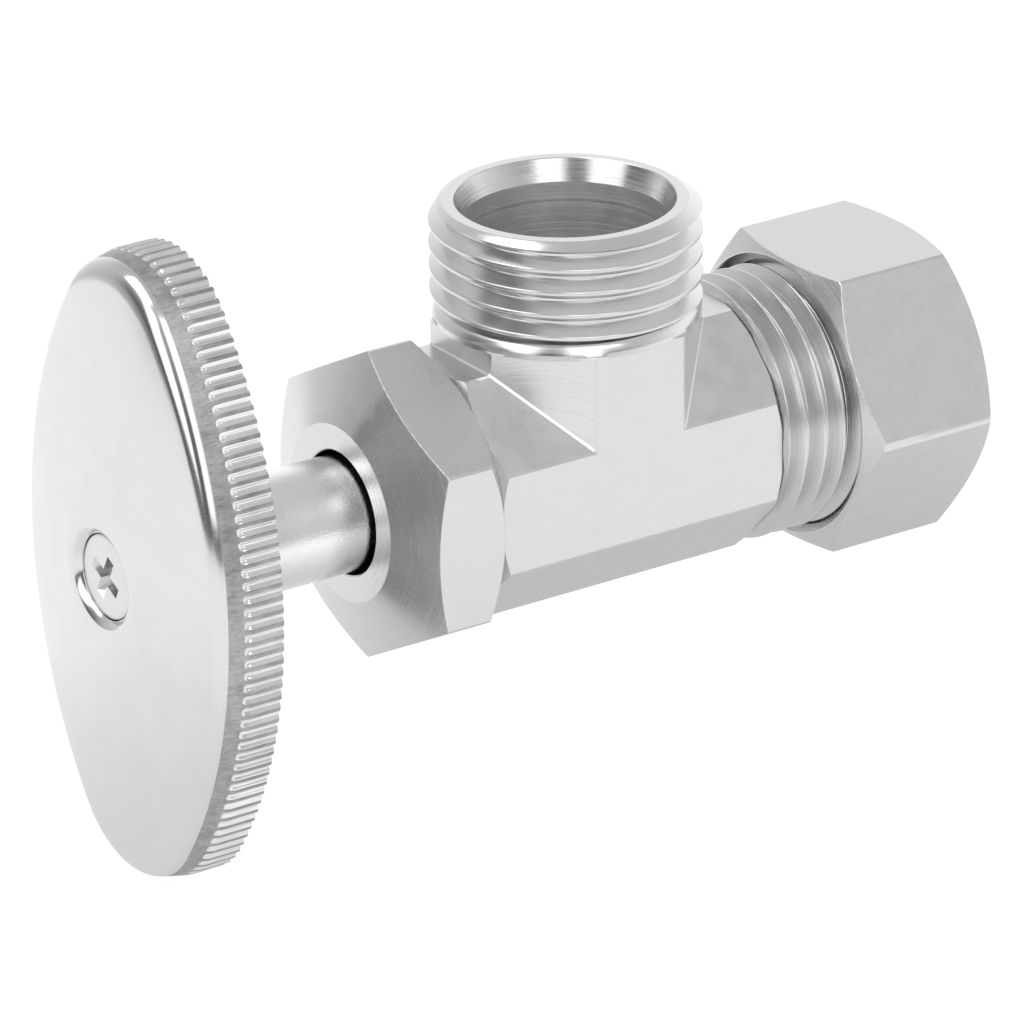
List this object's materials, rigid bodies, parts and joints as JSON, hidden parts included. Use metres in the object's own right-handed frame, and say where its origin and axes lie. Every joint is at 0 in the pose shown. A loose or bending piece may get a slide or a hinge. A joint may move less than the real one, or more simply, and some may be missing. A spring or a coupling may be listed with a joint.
{
  "type": "angle isolating valve",
  "caption": "Angle isolating valve with a fluted oval handle, a compression inlet for a supply pipe and a male threaded outlet square to it.",
  "frame": {"origin": "centre of the pipe stop, where the pipe's end seats in the inlet socket", "axes": "+X out of the inlet along the pipe, away from the handle; +Z out of the outlet"},
  "size_m": [0.0742, 0.0276, 0.0502],
  "materials": {
    "body_chrome": "satin chrome on forged and turned brass",
    "bonnet_chrome": "satin chrome on turned brass bar",
    "nut_chrome": "satin chrome on brass bar",
    "handle_chrome": "bright chrome on a casting",
    "screw_nickel": "nickel plate",
    "plain_brass": "turned brass",
    "seal_rubber": "smooth rubber",
    "slip_plastic": "white low-friction plastic",
    "gasket_fibre": "red vulcanised fibre"
  },
  "bodies": {
    "valve": {"valve_body": "body_chrome", "bonnet": "bonnet_chrome", "bonnet_gasket": "gasket_fibre"},
    "disc": {"jumper": "plain_brass", "seat_washer": "seal_rubber", "washer_screw": "plain_brass"},
    "spindle": {"stem": "plain_brass", "slip_washer": "slip_plastic", "stem_ring_outer": "seal_rubber", "stem_ring_inner": "seal_rubber", "handle": "handle_chrome", "handle_screw": "screw_nickel"},
    "ferrule": {"compression_ferrule": "plain_brass"},
    "nut": {"compression_nut": "nut_chrome"}
  },
  "joints": [
    {"name": "disc_lift", "type": "slide", "parent": "valve", "child": "disc", "axis": [1, 0, 0], "range_m": [0, 0.00451]},
    {"name": "handle_turn", "type": "hinge", "parent": "disc", "child": "spindle", "pos_m": [-0.0476, 0, 0], "axis": [1, 0, 0], "range_deg": [0, 900]},
    {"name": "ferrule_slide", "type": "slide", "parent": "valve", "child": "ferrule", "axis": [1, 0, 0], "range_m": [-0.00091, 0.00363]},
    {"name": "nut_turn", "type": "hinge", "parent": "ferrule", "child": "nut", "pos_m": [0.013, 0, 0], "axis": [1, 0, 0], "range_deg": [-180, 720]}
  ],
  "couplings": [
    {"joint": "disc_lift", "follows": "handle_turn", "m_per_rad": 0.00028648},
    {"joint": "ferrule_slide", "follows": "nut_turn", "m_per_rad": 0.00028871}
  ]
}
